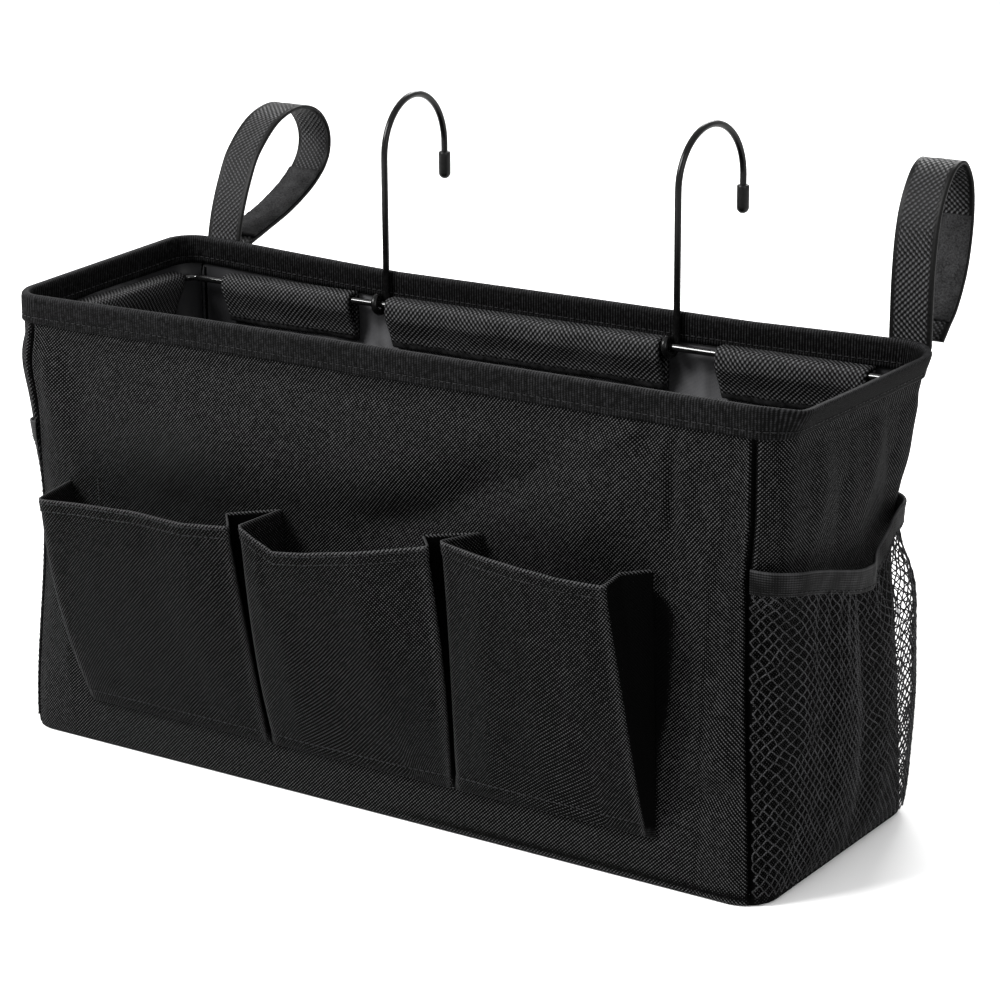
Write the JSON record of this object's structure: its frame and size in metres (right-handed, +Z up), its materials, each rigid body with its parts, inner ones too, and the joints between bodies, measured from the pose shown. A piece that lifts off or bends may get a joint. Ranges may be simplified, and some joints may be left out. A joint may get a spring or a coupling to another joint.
{
  "type": "bedside caddy",
  "caption": "Soft open box of woven cloth that hangs on a bed rail, held open by a wire ring, with rail hooks, webbing loops, pleated front pockets and net end pockets.",
  "frame": {"origin": "middle of the underside, on the surface that the bag stands on", "axes": "+X along the bag, +Y towards the bed rail behind it, +Z up; the front with its pockets faces -Y"},
  "size_m": [0.4006, 0.2374, 0.2755],
  "materials": {
    "oxford_cloth": "matt black woven polyester",
    "lining_cloth": "smooth dark grey lining with a faint sheen",
    "grosgrain_tape": "black ribbed tape",
    "elastic_tape": "black folded elastic tape",
    "webbing": "black coarse webbing",
    "polyester_net": "black knitted net",
    "black_wire": "gloss black coated steel wire",
    "cap_rubber": "smooth black rubber",
    "stiffener_board": "plain grey board"
  },
  "bodies": {
    "bag": {"front_panel": "oxford_cloth", "back_panel": "oxford_cloth", "end_panel_left": "oxford_cloth", "end_panel_right": "oxford_cloth", "base_panel": "oxford_cloth", "base_board": "stiffener_board", "lining": "lining_cloth", "rim_binding": "grosgrain_tape", "wire_ring": "black_wire", "wire_sleeve_back_left": "webbing", "wire_sleeve_back_centre": "webbing", "wire_sleeve_back_right": "webbing", "wire_sleeve_front_left": "webbing", "wire_sleeve_front_right": "webbing", "wire_sleeve_end_left": "webbing", "wire_sleeve_end_right": "webbing", "strap_tail_left": "webbing", "strap_tail_right": "webbing", "front_pocket_left": "oxford_cloth", "front_pocket_centre": "oxford_cloth", "front_pocket_right": "oxford_cloth", "net_pocket_left": "polyester_net", "net_band_left": "elastic_tape", "net_pocket_right": "polyester_net", "net_band_right": "elastic_tape"},
    "left_hook": {"hook_left": "black_wire", "hook_cap_left": "cap_rubber"},
    "right_hook": {"hook_right": "black_wire", "hook_cap_right": "cap_rubber"},
    "left_loop": {"strap_left": "webbing", "strap_tab_left": "webbing"},
    "right_loop": {"strap_right": "webbing", "strap_tab_right": "webbing"}
  },
  "joints": [
    {"name": "left_hook_swing", "type": "hinge", "parent": "bag", "child": "left_hook", "pos_m": [-0.0738, 0.05515, 0.184], "axis": [1, 0, 0], "range_deg": [0, 175]},
    {"name": "right_hook_swing", "type": "hinge", "parent": "bag", "child": "right_hook", "pos_m": [0.0762, 0.05515, 0.184], "axis": [1, 0, 0], "range_deg": [0, 175]},
    {"name": "left_loop_bend", "type": "hinge", "parent": "bag", "child": "left_loop", "pos_m": [-0.1745, 0.0692, 0.1955], "axis": [1, 0, 0], "range_deg": [-95, 35], "stiffness_Nm_per_rad": 0.04},
    {"name": "right_loop_bend", "type": "hinge", "parent": "bag", "child": "right_loop", "pos_m": [0.179, 0.0692, 0.1955], "axis": [1, 0, 0], "range_deg": [-95, 35], "stiffness_Nm_per_rad": 0.04}
  ]
}
